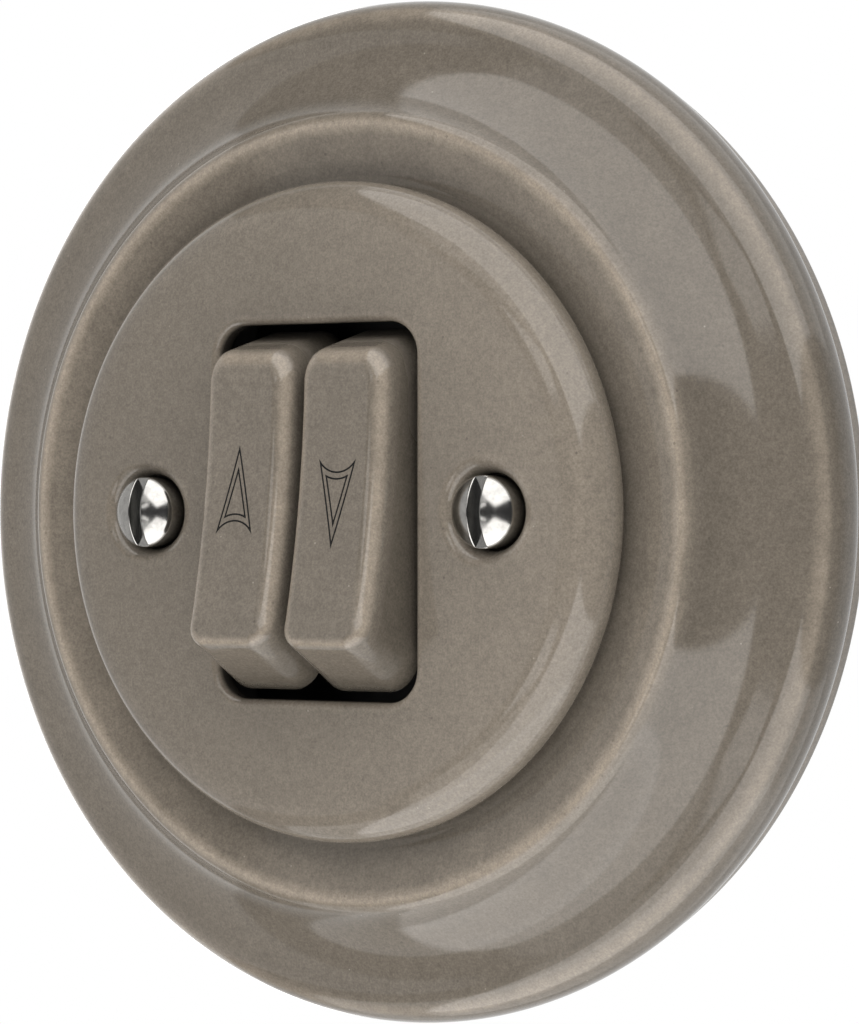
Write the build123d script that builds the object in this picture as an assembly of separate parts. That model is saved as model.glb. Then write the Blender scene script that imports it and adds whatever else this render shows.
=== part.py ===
from build123d import *
from math import asin, atan2, cos, degrees, hypot, radians, sin, sqrt, tan
import os

# Porcelain blind switch: two rocker keys in a round cover on a round frame, for a 60 mm wall box.
# Modelled lying on its back, in mm: x to the right, y up the wall, z out from the wall at z = 0.
# The export stands it upright, so that the front faces -Y and +Z is up.

# Frame ring
ring_radius = 50.0
bead_round = 4.0
bead_rise = 0.4
bead_under_angle = 40.0
cove_round = 11.0
crest_gap = 5.55
crest_height = 14.25
crest_round = 1.5
seat_height = 13.4
seat_margin = 0.6
seat_width = 3.95
ring_web = 4.2
ring_foot = 4.0

# Cover plate
cover_radius = 31.75
face_height = 18.8
shoulder_round = 3.25
under_round = 2.0
cover_thickness = 4.6
spigot_depth = 2.0
spigot_wall = 2.6
spigot_play = 0.3
window_width = 23.0
window_length = 36.0
window_corner = 3.2
window_lip = 1.2
window_shift = -0.4
window_wall = 2.2
rebate_margin = 1.5

# Cover screws and the posts that they turn into
screw_pitch = 39.6
screw_radius = 1.75
screw_length = 11.0
screw_play = 0.25
head_radius = 3.3
head_proud = 1.0
head_rise = 1.5
slot_width = 1.3
slot_depth = 1.5
recess_depth = 2.4
recess_play = 0.45
recess_lip = 1.2
post_radius = 3.0
post_gap = 1.6
post_rivet_radius = 1.9
rivet_play = 0.02
thread_play = 0.03

# Keys, in their own frame about the pivot
pivot_height = 12.2
key_pitch = 10.8
key_tilt = 7.5
key_dish = 0.9
key_face = 12.0
key_skirt = 9.0
key_face_width = 9.5
key_face_length = 27.5
key_side_draft = 2.9
key_end_draft = 22.0
key_corner = 2.0
key_edge = 1.4
key_roof = 2.7
pocket_width = 5.6
pocket_length = 24.8

# Rockers, axle and plungers
pocket_play = 0.1
saddle_thickness = 2.4
web_length = 9.0
hub_radius = 2.6
axle_radius = 1.0
axle_play = 0.05
axle_seat_play = 0.02
nose_radius = 2.4
nose_reach = 6.8
plunger_radius = 1.5
plunger_play = 0.05
plunger_length = 4.4
plunger_gap = 0.05
spring_room = 2.2
spring_radius = 1.1
spring_wire = 0.35
spring_turns = 3

# Contact blades, in their own frame about their rocking edge
blade_height = 1.2
blade_tilt = 6.0
blade_width = 5.0
blade_length = 15.0
blade_thickness = 0.8
blade_rise = 0.5
blade_edge_radius = 0.7
blade_edge_play = 0.05
contact_reach = 6.0
contact_radius = 1.3
contact_depth = 0.7
contact_gap = 0.14

# Support plate
plate_radius = 36.0
plate_thickness = 1.2
plate_rim = 2.6
plate_bend = 1.0
plate_play = 0.2
box_pitch = 60.0
box_slot_width = 4.2
box_slot_length = 7.0

# Housing and base
housing_width = 30.6
housing_length = 38.6
housing_wall = 1.8
housing_corner = 2.0
deck_height = 8.0
deck_thickness = 2.0
lug_gap = 0.3
lug_wall = 1.2
lug_thickness = 2.0
deck_slot_play = 0.5
flange_lip = 2.1
flange_thickness = 3.0
flange_screw_gap = 2.7
flange_screw_radius = 1.25
flange_screw_play = 0.2
flange_head_radius = 2.3
flange_head_height = 1.8
flange_head_margin = 0.2
platform_play = 0.3
platform_height = 1.6
base_plate = 3.0
base_depth = 12.0
base_head_gap = 0.5
base_edge = 0.8

# Fixed contacts and wire clamps
strip_thickness = 0.8
strip_width = 5.0
tail_depth = 12.6
tail_play = 0.2
cradle_length = 2.4
cage_width = 6.6
cage_length = 6.0
cage_depth = 6.0
cage_wall = 0.9
cage_inset = 3.5
cage_play = 0.2
clamp_screw_radius = 1.5
clamp_screw_play = 0.05
clamp_head_radius = 2.4
clamp_head_height = 1.7
clamp_head_play = 0.3
clamp_lift = 0.3

# Values that follow from those above
crest_radius = cover_radius + crest_gap
ring_bore_radius = cover_radius - seat_width
key_back = key_face - key_skirt
pocket_roof = key_face - key_roof
rocker_width = pocket_width - 2 * pocket_play
recess_radius = head_radius + recess_play
recess_floor = face_height - recess_depth
cover_back = face_height - cover_thickness
spigot_radius = ring_bore_radius - spigot_play
post_top = cover_back - post_gap
blade_front = blade_rise + blade_thickness
plunger_reach = pivot_height - blade_height - blade_front - plunger_gap
plunger_back = plunger_reach - plunger_length
bore_floor = plunger_back - spring_room
lug_radius = axle_radius + lug_wall
hub_inner = key_pitch / 2 - rocker_width / 2
hub_outer = key_pitch / 2 + rocker_width / 2
axle_half = hub_outer + lug_gap + lug_thickness
flange_width = housing_width + 2 * flange_lip
flange_screw_reach = housing_length / 2 + flange_screw_gap
flange_length = 2 * (flange_screw_reach + flange_head_radius + flange_head_margin)
base_length = 2 * (flange_screw_reach - flange_head_radius - base_head_gap)
cavity_width = housing_width - 2 * housing_wall
cavity_length = housing_length - 2 * housing_wall
platform_width = cavity_width - 2 * platform_play
platform_length = cavity_length - 2 * platform_play
platform_top = -flange_thickness + platform_height
feed_offset = (platform_width - strip_width) / 2
strip_top = platform_top + strip_thickness
base_front = -flange_thickness
base_step = base_front - base_plate
base_back = base_step - base_depth
cage_back = base_back + cage_inset
cage_middle = cage_back + cage_depth / 2
cage_outer = base_length / 2 - clamp_head_height - clamp_lift
cage_inner = cage_outer - cage_length
tail_reach = cage_inner + cage_wall + tail_play / 2
terminals = {
    "up": (-key_pitch / 2, 1),
    "down": (key_pitch / 2, 1),
    "feed": (-feed_offset, -1),
}

upright = Rot(90, 0, 0)


def block(x_span, y_span, z_span):
    """A box between pairs of limits."""
    size = [abs(b - a) for a, b in (x_span, y_span, z_span)]
    middle = [(a + b) / 2 for a, b in (x_span, y_span, z_span)]
    return Pos(*middle) * Box(*size)


def rod(radius, low, high, x=0.0, y=0.0):
    """A cylinder along z between two heights."""
    return Pos(x, y, (low + high) / 2) * Cylinder(radius, high - low)


def cross_rod(radius, low, high, z=0.0):
    """A cylinder along x between two places."""
    return Pos((low + high) / 2, 0, z) * Rot(0, 90, 0) * Cylinder(radius, high - low)


def wall_rod(radius, low, high, x=0.0, z=0.0):
    """A cylinder along y between two places."""
    return Pos(x, (low + high) / 2, z) * Rot(90, 0, 0) * Cylinder(radius, abs(high - low))


def turned(*edges):
    """A body of revolution about z, from a closed outline in radius and height."""
    return revolve(Plane.XZ * make_face(edges), Axis.Z)


def rounded_slab(width, length, corner, low, high):
    """An upright slab with rounded corners between two heights."""
    return extrude(Pos(0, 0, low) * RectangleRounded(width, length, corner), high - low)


def pair(solid, pitch):
    """Two copies of a solid, side by side along x."""
    return [Pos(side * pitch / 2, 0, 0) * solid for side in (-1, 1)]


def touching_centre(first, first_reach, second, second_reach):
    """The outer point at the given distances from two points of the ring's outline."""
    span = hypot(second[0] - first[0], second[1] - first[1])
    along = (first_reach**2 - second_reach**2 + span**2) / (2 * span)
    aside = sqrt(first_reach**2 - along**2)
    unit = ((second[0] - first[0]) / span, (second[1] - first[1]) / span)
    return (first[0] + along * unit[0] + aside * unit[1], first[1] + along * unit[1] - aside * unit[0])


def on_circle(centre, radius, angle):
    """A point on a circle, with the angle in degrees from the radius axis."""
    return (centre[0] + radius * cos(radians(angle)), centre[1] + radius * sin(radians(angle)))


def bearing(start, end):
    """The angle in degrees of the way from one point to another."""
    return degrees(atan2(end[1] - start[1], end[0] - start[0]))


def arc(centre, radius, start, end):
    """An arc of a circle between two angles in degrees."""
    return ThreePointArc(*(on_circle(centre, radius, a) for a in (start, (start + end) / 2, end)))


def frame_ring():
    """The round frame: bead, cove, raised crest, dished seat and hollow back."""
    bead = (ring_radius - bead_round, bead_rise + bead_round)
    crest = (crest_radius, crest_height - crest_round)
    cove = touching_centre(bead, bead_round + cove_round, crest, crest_round + cove_round)
    from_bead = bearing(cove, bead)
    from_crest = bearing(cove, crest)
    seat = (cover_radius + seat_margin, seat_height)
    dish_reach = hypot(crest[0] - seat[0], crest[1] - seat[1])
    dish_slope = bearing(seat, crest) + degrees(asin(crest_round / dish_reach))
    front = [
        arc(bead, bead_round, -bead_under_angle, from_bead + 180),
        arc(cove, cove_round, from_bead, from_crest),
        arc(crest, crest_round, from_crest + 180, 90 + dish_slope),
    ]
    foot_outer = (front[0] @ 0).X
    web_back = seat_height - ring_web
    back = Polyline(
        front[-1] @ 1,
        seat,
        (ring_bore_radius, seat_height),
        (ring_bore_radius, web_back),
        (crest_radius - crest_round, web_back),
        (foot_outer - ring_foot, bead_round),
        (foot_outer - ring_foot, 0),
        (foot_outer, 0),
        front[0] @ 0,
    )
    return turned(*front, back)


def rims(cover):
    """The edges of the openings in the cover's face."""
    on_face = cover.edges().filter_by_position(Axis.Z, face_height, face_height)
    return on_face.filter_by(lambda edge: edge.length < window_width + window_length)


def cover_plate():
    """The round cover with its spigot, rebated window and two lipped screw recesses."""
    shoulder = (cover_radius - shoulder_round, face_height - shoulder_round)
    under = (cover_radius - under_round, seat_height + under_round)
    spigot_end = seat_height - spigot_depth
    shoulder_arc = arc(shoulder, shoulder_round, 90, 0)
    under_arc = arc(under, under_round, 0, -90)
    outline = [
        Line((0, face_height), shoulder_arc @ 0),
        shoulder_arc,
        Line(shoulder_arc @ 1, under_arc @ 0),
        under_arc,
        Polyline(
            under_arc @ 1,
            (spigot_radius, seat_height),
            (spigot_radius, spigot_end),
            (spigot_radius - spigot_wall, spigot_end),
            (spigot_radius - spigot_wall, cover_back),
            (0, cover_back),
            (0, face_height),
        ),
    ]
    cover = turned(*outline)
    window = rounded_slab(window_width, window_length, window_corner, cover_back, face_height)
    rebate_size = (window_width + 2 * rebate_margin, window_length + 2 * rebate_margin)
    rebate_corner = window_corner + rebate_margin
    window += rounded_slab(*rebate_size, rebate_corner, cover_back, face_height - window_wall)
    cover -= Pos(window_shift, 0, 0) * window
    for hole in pair(rod(recess_radius, recess_floor, face_height), screw_pitch):
        cover -= hole
    for hole in pair(rod(screw_radius + screw_play, cover_back, recess_floor), screw_pitch):
        cover -= hole
    cover = fillet(rims(cover).filter_by(lambda edge: not edge.is_closed), window_lip)
    return fillet(rims(cover).filter_by(lambda edge: edge.is_closed), recess_lip)


def cover_screw():
    """A slotted screw with a raised head, seated on the recess floor."""
    edge = face_height + head_proud
    top = edge + head_rise
    dome_radius = (head_radius**2 + head_rise**2) / (2 * head_rise)
    dome = RadiusArc((0, top), (head_radius, edge), dome_radius)
    tip = recess_floor - screw_length
    sides = Polyline(
        dome @ 1,
        (head_radius, recess_floor),
        (screw_radius, recess_floor),
        (screw_radius, tip),
        (0, tip),
        dome @ 0,
    )
    slot = block((-slot_width / 2, slot_width / 2), (-head_radius, head_radius), (top - slot_depth, top))
    return turned(dome, sides) - slot


def screw_post():
    """A brass post riveted into the support plate, bored for a cover screw."""
    post = rod(post_radius, plate_thickness, post_top) + rod(post_rivet_radius, 0, plate_thickness)
    return post - rod(screw_radius + thread_play, recess_floor - screw_length - screw_radius, post_top)


def key_cap():
    """A hollow porcelain cap about its pivot, drafted on all sides and rounded at the front."""
    spread = 2 * key_skirt * tan(radians(key_side_draft)), 2 * key_skirt * tan(radians(key_end_draft))
    back = Pos(0, 0, key_back) * Rectangle(key_face_width + spread[0], key_face_length + spread[1])
    front = Pos(0, 0, key_face) * Rectangle(key_face_width, key_face_length)
    cap = loft([back, front])
    rising = cap.edges().filter_by(lambda edge: edge.bounding_box().size.Z > key_skirt / 2)
    cap = fillet(rising, key_corner)
    dish_radius = (key_face_length**2 / 4 + key_dish**2) / (2 * key_dish)
    dish_centre = key_face - key_dish + dish_radius
    cap -= cross_rod(dish_radius, -key_face_width, key_face_width, z=dish_centre)
    cap = fillet(cap.faces().sort_by(Axis.Z)[-1].edges(), key_edge)
    half_width = pocket_width / 2
    half_length = pocket_length / 2
    return cap - block((-half_width, half_width), (-half_length, half_length), (key_back, pocket_roof))


def rocker():
    """The moulded rocker in a cap's pocket: saddle, web, hub and the nose for the plunger."""
    half_width = rocker_width / 2
    half_length = pocket_length / 2 - pocket_play
    saddle = block(
        (-half_width, half_width), (-half_length, half_length), (pocket_roof - saddle_thickness, pocket_roof)
    )
    web = block((-half_width, half_width), (-web_length / 2, web_length / 2), (0, pocket_roof))
    hub = cross_rod(hub_radius, -half_width, half_width)
    nose = rod(nose_radius, -nose_reach, 0)
    body = saddle + web + hub + nose
    body -= cross_rod(axle_radius + axle_play, -half_width, half_width)
    return body - rod(plunger_radius + plunger_play, -nose_reach, -bore_floor)


def plunger():
    """A round-nosed plunger in the rocker's nose."""
    nose_centre = plunger_radius - plunger_reach
    nose = Pos(0, 0, nose_centre) * Sphere(plunger_radius)
    return nose + rod(plunger_radius, nose_centre, -plunger_back)


def plunger_spring():
    """A short coil spring between the bore's floor and the plunger."""
    rise = plunger_back - bore_floor - spring_wire
    start = Pos(0, 0, -plunger_back + spring_wire / 2)
    path = start * Helix(rise / spring_turns, rise, spring_radius)
    wire = Plane(path @ 0, z_dir=path % 0) * Circle(spring_wire / 2)
    return sweep(wire, path)


def tilted(solid, side):
    """A key's piece at its place, in the rest position with the lower end out."""
    return Pos(side * key_pitch / 2, 0, pivot_height) * Rot(-key_tilt, 0, 0) * solid


def contact_blade():
    """A rocking contact strip with a rounded edge across its middle and two contact faces."""
    half_width = blade_width / 2
    half_length = blade_length / 2
    blade = block((-half_width, half_width), (-half_length, half_length), (blade_rise, blade_front))
    blade += cross_rod(blade_edge_radius, -half_width, half_width)
    for reach in (-contact_reach, contact_reach):
        blade += rod(contact_radius, blade_rise - contact_depth, blade_rise, y=reach)
    return blade


def blade_at(side):
    """A contact blade at its place, in the rest position with the lower arm closed."""
    return Pos(side * key_pitch / 2, 0, blade_height) * Rot(blade_tilt, 0, 0) * contact_blade()


def support_plate():
    """The round steel plate with a folded rim, box screw slots and the cut-out for the housing."""
    dish = extrude(Circle(plate_radius), plate_rim)
    dish = fillet(dish.edges().sort_by(Axis.Z)[0], plate_bend + plate_thickness)
    well = extrude(Pos(0, 0, plate_thickness) * Circle(plate_radius - plate_thickness), plate_rim)
    plate = dish - fillet(well.edges().sort_by(Axis.Z)[0], plate_bend)
    opening = housing_width + 2 * plate_play, housing_length + 2 * plate_play
    plate -= rounded_slab(*opening, housing_corner, 0, plate_thickness)
    slot = extrude(SlotOverall(box_slot_length, box_slot_width), plate_thickness)
    for turn in (0, 90, 180, 270):
        plate -= Rot(0, 0, turn) * Pos(box_pitch / 2, 0, 0) * slot
    for hole in pair(rod(post_rivet_radius + rivet_play, 0, plate_thickness), screw_pitch):
        plate -= hole
    for reach in (-flange_screw_reach, flange_screw_reach):
        plate -= rod(flange_screw_radius + thread_play, 0, plate_thickness, y=reach)
    return plate


def housing():
    """The moulded body: flange behind the plate, hollow front box, deck and bearing lugs."""
    body = rounded_slab(flange_width, flange_length, housing_corner, base_front, 0)
    body += rounded_slab(housing_width, housing_length, housing_corner, 0, deck_height)
    cavity_top = deck_height - deck_thickness
    body -= rounded_slab(cavity_width, cavity_length, housing_corner / 2, base_front, cavity_top)
    lug_spans = (
        (-axle_half, -hub_outer - lug_gap),
        (lug_gap - hub_inner, hub_inner - lug_gap),
        (hub_outer + lug_gap, axle_half),
    )
    for span in lug_spans:
        body += block(span, (-lug_radius, lug_radius), (deck_height, pivot_height))
        body += cross_rod(lug_radius, *span, z=pivot_height)
    body -= cross_rod(axle_radius + axle_seat_play, -axle_half, axle_half, z=pivot_height)
    swing = nose_reach * sin(radians(key_tilt)) + nose_radius + deck_slot_play
    slot_half = nose_radius + deck_slot_play
    slot = block((-slot_half, slot_half), (-swing, swing), (deck_height - deck_thickness, deck_height))
    for cut in pair(slot, key_pitch):
        body -= cut
    for reach in (-flange_screw_reach, flange_screw_reach):
        body -= rod(flange_screw_radius + flange_screw_play, base_front, 0, y=reach)
    return body


def housing_base():
    """The moulded back with the contact platform and the pockets of the wire clamps."""
    base = rounded_slab(flange_width, flange_length, housing_corner, base_step, base_front)
    base += rounded_slab(platform_width, platform_length, housing_corner / 2, base_front, platform_top)
    back = rounded_slab(flange_width, base_length, housing_corner, base_back, base_step)
    base += fillet(back.faces().sort_by(Axis.Z)[0].edges(), base_edge)
    for reach in (-flange_screw_reach, flange_screw_reach):
        base -= rod(flange_screw_radius + flange_screw_play, base_step, base_front, y=reach)
    half_cage = cage_width / 2 + cage_play
    half_tail = strip_width / 2 + tail_play
    for x, side in terminals.values():
        sides = (x - half_cage, x + half_cage)
        ends = (side * (cage_inner - cage_play), side * (cage_outer + cage_play))
        base -= block(sides, ends, (base_back, cage_back + cage_depth + cage_play))
        tail_ends = (side * (tail_reach - tail_play / 2), side * (tail_reach + strip_thickness + tail_play))
        base -= block((x - half_tail, x + half_tail), tail_ends, (base_back + cage_inset, platform_top))
        way = (side * cage_outer, side * base_length / 2)
        base -= wall_rod(clamp_head_radius + clamp_head_play, *way, x=x, z=cage_middle)
    return base


def housing_screw(reach):
    """A screw through base and flange into the support plate."""
    shank = rod(flange_screw_radius, base_step, plate_thickness, y=reach)
    return shank + rod(flange_head_radius, base_step - flange_head_height, base_step, y=reach)


def tail(x, side):
    """The bent end of a contact strip that runs back into its wire clamp."""
    ends = (side * tail_reach, side * (tail_reach + strip_thickness))
    return block((x - strip_width / 2, x + strip_width / 2), ends, (strip_top - tail_depth, strip_top))


def strip(x_span, y_span):
    """A flat stretch of contact strip on the platform."""
    return block(x_span, y_span, (platform_top, strip_top))


def fixed_tip(x, y):
    """A fixed contact face under a blade's contact."""
    reach = contact_reach + contact_radius
    closed = blade_height + (blade_rise - contact_depth) * cos(radians(blade_tilt))
    closed -= reach * sin(radians(blade_tilt))
    return rod(contact_radius, strip_top, closed - contact_gap, x=x, y=y)


def cradle(x):
    """The seat that holds a blade's rocking edge."""
    sides = (x - blade_width / 2, x + blade_width / 2)
    seat = block(sides, (-cradle_length / 2, cradle_length / 2), (strip_top, blade_height))
    return seat - cross_rod(blade_edge_radius + blade_edge_play, *sides, z=blade_height)


def working_contact(name):
    """The contact that a pressed key closes, with its tail."""
    x, side = terminals[name]
    half = strip_width / 2
    ends = (contact_reach - contact_radius, tail_reach + strip_thickness)
    return strip((x - half, x + half), ends) + fixed_tip(x, contact_reach) + tail(x, side)


def feed_contact():
    """The cradle of the up blade, led round to the feed clamp."""
    x, side = terminals["feed"]
    blade_x = -key_pitch / 2
    half = strip_width / 2
    across = strip((x - half, blade_x + half), (-cradle_length / 2, cradle_length / 2))
    down = strip((x - half, x + half - strip_thickness), (-tail_reach, cradle_length / 2))
    return across + down + cradle(blade_x) + tail(x, side)


def link_contact():
    """The rest contact of the up blade, led to the cradle of the down blade."""
    left, right = -key_pitch / 2, key_pitch / 2
    half = strip_width / 2
    rest_end = contact_reach + contact_radius
    across = strip((left - contact_radius, right + half), (-rest_end, contact_radius - contact_reach))
    down = strip((right - half, right + half), (-rest_end, cradle_length / 2))
    return across + down + cradle(right) + fixed_tip(left, -contact_reach) + fixed_tip(right, -contact_reach)


def terminal_cage(x, side):
    """A brass cage that draws a wire end against a contact's tail."""
    half = cage_width / 2
    span = (cage_back, cage_back + cage_depth)
    cage = block((x - half, x + half), (side * cage_inner, side * cage_outer), span)
    hollow = (side * (cage_inner + cage_wall), side * (cage_outer - cage_wall))
    cage -= block((x - strip_width / 2 - tail_play / 2, x + strip_width / 2 + tail_play / 2), hollow, span)
    way = (side * (cage_outer - cage_wall), side * cage_outer)
    return cage - wall_rod(clamp_screw_radius + clamp_screw_play, *way, x=x, z=cage_middle)


def terminal_screw(x, side):
    """A clamp screw through a cage's outer wall."""
    head = (side * (cage_outer + clamp_lift), side * (cage_outer + clamp_lift + clamp_head_height))
    shank = (side * (cage_outer - 2 * cage_wall), head[0])
    screw = wall_rod(clamp_screw_radius, *shank, x=x, z=cage_middle)
    return screw + wall_rod(clamp_head_radius, *head, x=x, z=cage_middle)


nodes = {
    "frame_ring": frame_ring(),
    "cover_plate": cover_plate(),
    "cover_screws": pair(cover_screw(), screw_pitch),
    "screw_posts": pair(screw_post(), screw_pitch),
    "support_plate": support_plate(),
    "housing": housing(),
    "housing_base": housing_base(),
    "housing_screws": [housing_screw(reach) for reach in (-flange_screw_reach, flange_screw_reach)],
    "axle_pin": cross_rod(axle_radius, -axle_half, axle_half, z=pivot_height),
    "feed_contact": feed_contact(),
    "link_contact": link_contact(),
    "up_contact": working_contact("up"),
    "down_contact": working_contact("down"),
    "terminal_cages": [terminal_cage(x, side) for x, side in terminals.values()],
    "terminal_screws": [terminal_screw(x, side) for x, side in terminals.values()],
}
for name, side in (("up", -1), ("down", 1)):
    nodes[f"key_{name}"] = tilted(key_cap(), side)
    nodes[f"rocker_{name}"] = tilted(rocker(), side)
    nodes[f"plunger_{name}"] = tilted(plunger(), side)
    nodes[f"plunger_spring_{name}"] = tilted(plunger_spring(), side)
    nodes[f"blade_{name}"] = blade_at(side)

os.makedirs("parts", exist_ok=True)
for name, shape in nodes.items():
    solids = shape if isinstance(shape, list) else [shape]
    standing = [upright * solid for solid in solids]
    node = standing[0] if len(standing) == 1 else Compound(children=standing)
    export_step(node, f"parts/{name}.step")
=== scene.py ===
from math import acos, asin, atan2, cos, hypot, pi, radians, sin, sqrt, tan

import bmesh
import bpy
import numpy as np
from mathutils import Matrix, Vector
from mathutils.geometry import tessellate_polygon


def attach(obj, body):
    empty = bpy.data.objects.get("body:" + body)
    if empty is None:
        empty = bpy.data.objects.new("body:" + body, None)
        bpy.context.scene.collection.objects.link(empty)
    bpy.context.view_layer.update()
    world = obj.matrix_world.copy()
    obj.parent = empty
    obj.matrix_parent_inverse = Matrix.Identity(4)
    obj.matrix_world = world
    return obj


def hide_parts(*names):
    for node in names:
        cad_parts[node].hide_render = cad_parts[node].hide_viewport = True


bl_info = {
    "name": "Porcelain blind switch",
    "version": (1, 0, 0),
    "blender": (4, 5, 0),
    "location": "View3D > Sidebar > Blind switch",
    "description": "Glazed frame, cover, keys, printed arrows and insert of a round wall switch",
    "category": "Add Mesh",
}

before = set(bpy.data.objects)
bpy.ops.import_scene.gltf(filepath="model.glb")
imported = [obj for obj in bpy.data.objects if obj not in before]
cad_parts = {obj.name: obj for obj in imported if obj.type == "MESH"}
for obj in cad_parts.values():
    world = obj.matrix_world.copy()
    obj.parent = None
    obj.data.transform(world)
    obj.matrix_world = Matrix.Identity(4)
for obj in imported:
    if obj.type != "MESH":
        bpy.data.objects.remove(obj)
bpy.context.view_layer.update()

MM = 0.001
TINY = 1e-9
# Points nearer than this are joined, on the glazed and metal pieces and on the thin print
WELD = 2e-7
PRINT_WELD = 1e-9
SHARP_TURN = radians(38)

# Steps round the turned surfaces
RING_STEPS = 288
COVER_STEPS = 256
RECESS_STEPS = 112
FLOOR_STEPS = 96


def length(label, note, mm):
    """A length property, given in millimetres."""
    return bpy.props.FloatProperty(
        name=label, description=note, default=mm * MM, subtype="DISTANCE", unit="LENGTH", precision=5
    )


def angle(label, note, turn):
    """An angle property, given in degrees."""
    return bpy.props.FloatProperty(
        name=label, description=note, default=radians(turn), subtype="ANGLE", unit="ROTATION"
    )


def factor(label, note, value, top=1.0):
    """A plain number property."""
    return bpy.props.FloatProperty(name=label, description=note, default=value, min=0.0, max=top)


def colour(label, note, *rgb):
    """A colour property in linear red, green and blue."""
    return bpy.props.FloatVectorProperty(
        name=label, description=note, default=rgb, size=3, min=0.0, max=1.0, subtype="COLOR"
    )


class RingSizes(bpy.types.PropertyGroup):
    """Sizes of the frame ring."""

    radius: length("Radius", "Outer radius at the bead", 50.0)
    bead_round: length("Bead round", "Radius of the rounded rim", 4.0)
    bead_rise: length("Bead rise", "Lowest point of the rim's circle above the wall", 0.4)
    bead_under: angle("Bead underside", "How far the rim turns in below its widest point", 40.0)
    cove_round: length("Cove round", "Radius of the hollow sweep", 11.0)
    crest_radius: length("Crest radius", "Radius of the raised ridge", 37.3)
    crest_height: length("Crest height", "Top of the ridge above the wall", 14.25)
    crest_round: length("Crest round", "Radius of the ridge's rounding", 1.5)
    seat_radius: length("Seat radius", "Where the dished slope meets the cover's seat", 32.35)
    seat_height: length("Seat height", "Height of the cover's seat", 13.4)
    bore_radius: length("Bore radius", "Radius of the middle opening", 27.8)
    web: length("Web", "Thickness under the seat", 4.2)
    foot: length("Foot", "Width of the foot on the wall", 4.0)
    foot_bare: length("Bare foot", "Height up to which the foot has no glaze", 0.35)


class CoverSizes(bpy.types.PropertyGroup):
    """Sizes of the cover plate."""

    radius: length("Radius", "Outer radius", 31.75)
    face_height: length("Face height", "Front face above the wall", 18.8)
    shoulder_round: length("Shoulder round", "Height of the rounded edge", 3.25)
    shoulder_width: length("Shoulder width", "Width of the rounded edge, which starts softly", 4.3)
    under_round: length("Under round", "Radius of the edge towards the frame", 2.0)
    back_height: length("Back height", "Back face above the wall", 14.2)
    spigot_radius: length("Spigot radius", "Collar that sits in the frame's opening", 27.5)
    spigot_wall: length("Spigot wall", "Thickness of the collar", 2.6)
    spigot_end: length("Spigot end", "Back of the collar above the wall", 11.4)
    window_width: length("Window width", "Opening across the keys", 23.0)
    window_length: length("Window length", "Opening along the keys", 36.0)
    window_corner: length("Window corner", "Corner radius of the opening", 3.2)
    window_lip: length("Window lip", "Rounding of the opening's edge", 0.8)
    window_shift: length("Window shift", "Middle of the opening to the side of the cover's middle", -0.4)
    window_wall: length("Window wall", "Thickness of the cover around the opening", 2.2)
    rebate_margin: length("Rebate margin", "How much wider the opening is behind that wall", 1.5)
    # Painted light: how much lighter the cover is made towards +X and its rim, where the lamps on the right
    # fall
    painted_light_slant: factor("Glaze run", "How much lighter the glaze gets towards the right", 0.24)


class KeySizes(bpy.types.PropertyGroup):
    """Sizes of a key, about its pivot."""

    pivot_height: length("Pivot height", "Pivot above the wall", 12.2)
    pitch: length("Pitch", "Distance between the keys' middles", 10.8)
    tilt: angle("Tilt", "Slant at rest, lower end out", 7.5)
    face: length("Face", "Ends of the front face above the pivot", 12.0)
    dish: length("Dish", "Hollow of the front face", 0.9)
    skirt: length("Skirt", "Depth of the sides", 9.0)
    width: length("Width", "Front face across", 9.9)
    length: length("Length", "Front face along", 27.5)
    side_draft: angle("Side draft", "Slope of the long sides", 2.9)
    end_draft: angle("End draft", "Slope of the ends", 22.0)
    corner: length("Corner", "Corner radius seen from the front", 2.4)
    edge: length("Edge", "Rounding of the front edge", 1.9)
    upper_edge: length("Upper edge", "Rounding of the front edge at the upper end", 2.4)
    lower_edge: length("Lower edge", "Rounding of the front edge at the lower end", 1.2)
    tail: length("Tail", "How much further the lower end reaches", 0.4)
    up_shift: length("Up shift", "Up key's front to the side of its rocker", -0.6)
    down_shift: length("Down shift", "Down key's front to the side of its rocker", -0.3)
    # Painted shade: below this height the keys' glaze is painted dark, as the shade inside the window
    shade: length("Shade", "Height above the wall below which the glaze lies dark", 14.4)
    thin: factor("Thin", "How thin the glaze lies on the front", 0.08)
    # Partly thin glaze, and partly a painted highlight along the keys' front edges
    edge_thin_and_highlight: factor("Thin edge", "How thin the glaze lies on the front edge", 0.6)
    foot_round: length("Foot round", "Rounding of the sides' back edge", 0.4)
    roof: length("Roof", "Thickness of the front wall", 2.7)
    pocket_width: length("Pocket width", "Hollow across", 5.6)
    pocket_length: length("Pocket length", "Hollow along", 24.8)
    pocket_corner: length("Pocket corner", "Corner radius of the hollow", 0.4)


class SignSizes(bpy.types.PropertyGroup):
    """Sizes of the printed arrows."""

    tip: length("Tip", "Point of the outer outline from the key's middle", 4.6)
    base: length("Base", "Corners of the outer outline from the key's middle", 3.25)
    half_width: length("Half width", "Half of the outer outline's base", 1.95)
    base_arc: length("Base arc", "Depth of the base's hollow", 0.95)
    inner_tip: length("Inner tip", "Point of the inner outline", 2.6)
    inner_base: length("Inner base", "Corners of the inner outline", 1.95)
    inner_half_width: length("Inner half width", "Half of the inner outline's base", 1.19)
    inner_base_arc: length("Inner base arc", "Depth of the inner base's hollow", 0.28)
    line: length("Line", "Width of the printed line", 0.16)
    lift: length("Lift", "Height of the print on the glaze", 0.012)
    up_shift: length("Up shift", "Up arrow to the side of its key's middle", -0.95)
    down_shift: length("Down shift", "Down arrow to the side of its key's middle", -0.26)


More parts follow.
